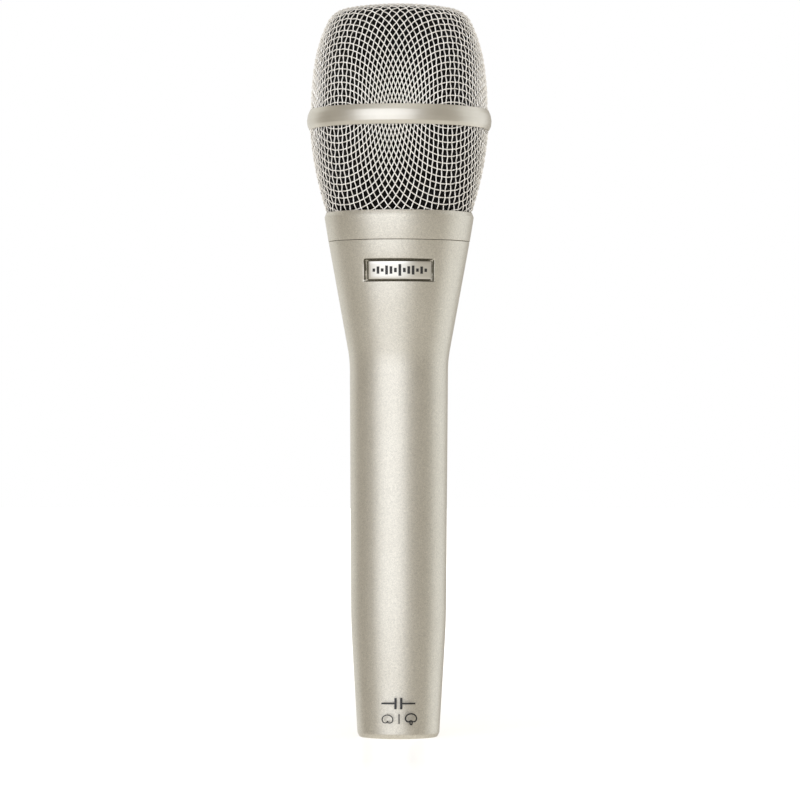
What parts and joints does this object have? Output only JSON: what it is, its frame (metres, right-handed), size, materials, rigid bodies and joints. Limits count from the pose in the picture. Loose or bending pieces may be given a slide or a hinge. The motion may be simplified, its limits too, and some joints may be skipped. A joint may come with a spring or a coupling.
{
  "type": "handheld vocal microphone",
  "caption": "Handheld stage microphone with a flared cone body, a screw-on woven wire grille with a middle band, a capsule on a rubber mount and a recessed pin connector in its tail.",
  "frame": {"origin": "on the body's axis at the connector end's flat rim, which the microphone stands on", "axes": "+Z along the body from the connector end to the grille's crown; -Y is the badge side, +X the right of someone facing the badge"},
  "size_m": [0.0482, 0.0482, 0.191],
  "materials": {
    "champagne_paint": "satin pale champagne enamel with a fine metallic grain",
    "champagne_ring": "satin turned aluminium, champagne tinted",
    "badge_metal": null,
    "mesh_wire": "bright woven steel wire, champagne lacquer",
    "lining_wire": "fine dull woven wire",
    "dark_foam": "black open-cell foam",
    "black_rubber": "matt black rubber",
    "nickel": "turned nickel plate",
    "black_steel": "black oxide steel",
    "black_plastic": "matt black moulded plastic",
    "white_plastic": "off-white moulded plastic",
    "gold_contact": "gold-plated brass",
    "gold_film": "gold-sputtered film",
    "brass": "plain turned brass",
    "green_board": "green solder-masked laminate",
    "red_film": "red dipped film",
    "capacitor_sleeve": "dark shrink sleeve",
    "cable_red": "red lead insulation",
    "cable_black": "black lead insulation",
    "cable_white": "white lead insulation"
  },
  "bodies": {
    "handle": {"handle_shell": "champagne_paint", "badge_plate": "badge_metal", "threaded_neck": "nickel", "head_plate": "black_plastic", "head_screw_1": "black_steel", "head_screw_2": "black_steel", "head_screw_3": "black_steel", "connector_insert": "black_plastic", "pin_1": "gold_contact", "pin_2": "gold_contact", "pin_3": "gold_contact", "insert_set_screw": "black_steel", "preamp_board": "green_board", "board_frame": "black_plastic", "board_screw_1": "nickel", "board_screw_2": "nickel", "electrolytic_capacitor_1": "capacitor_sleeve", "electrolytic_capacitor_2": "capacitor_sleeve", "electrolytic_capacitor_3": "capacitor_sleeve", "film_capacitor": "red_film", "amplifier_chip": "black_plastic", "input_transistor": "black_plastic", "coupling_inductor": "black_plastic", "output_header": "white_plastic", "capsule_header": "white_plastic", "ground_spring": "brass", "switch_housing": "black_plastic", "shock_mount": "black_rubber", "output_lead_1": "cable_black", "output_lead_2": "cable_red", "output_lead_3": "cable_white", "capsule_lead_1": "cable_red", "capsule_lead_2": "cable_white", "capsule_lead_3": "cable_black"},
    "gasket": {"grille_gasket": "black_rubber"},
    "windscreen": {"foam_liner": "dark_foam"},
    "grille": {"grille_collar": "champagne_paint", "grille_band": "champagne_ring", "lower_mesh": "mesh_wire", "upper_mesh": "mesh_wire", "lower_lining": "lining_wire", "upper_lining": "lining_wire"},
    "capsule": {"capsule_cradle": "black_plastic", "rear_clamp_ring": "brass", "rear_diaphragm": "gold_film", "rear_backplate": "brass", "insulator_ring": "white_plastic", "front_backplate": "brass", "front_diaphragm": "gold_film", "front_clamp_ring": "brass", "capsule_sleeve": "nickel", "capsule_grid": "nickel", "front_terminal_screw": "gold_contact", "rear_terminal_screw": "gold_contact"},
    "pattern_slider": {"switch_slider": "white_plastic"}
  },
  "joints": [
    {"name": "grille_lift_off", "type": "slide", "parent": "handle", "child": "gasket", "axis": [0, 0, 1], "range_m": [0, 0.07]},
    {"name": "grille_thread_rise", "type": "slide", "parent": "gasket", "child": "windscreen", "axis": [0, 0, 1], "range_m": [0, 0.00301]},
    {"name": "grille_unscrew", "type": "hinge", "parent": "windscreen", "child": "grille", "pos_m": [0, 0, 0.129], "axis": [0, 0, 1], "range_deg": [0, 1080]},
    {"name": "capsule_float", "type": "slide", "parent": "handle", "child": "capsule", "axis": [0, 0, 1], "range_m": [-0.0008, 0.0008], "stiffness_N_per_m": 2000, "springref_m": 0.0002, "deforming": ["shock_mount"]},
    {"name": "pattern_switch_slide", "type": "slide", "parent": "handle", "child": "pattern_slider", "axis": [1, 0, 0], "range_m": [0, 0.002]}
  ],
  "couplings": [
    {"joint": "grille_thread_rise", "follows": "grille_unscrew", "m_per_rad": 0.00015915}
  ]
}
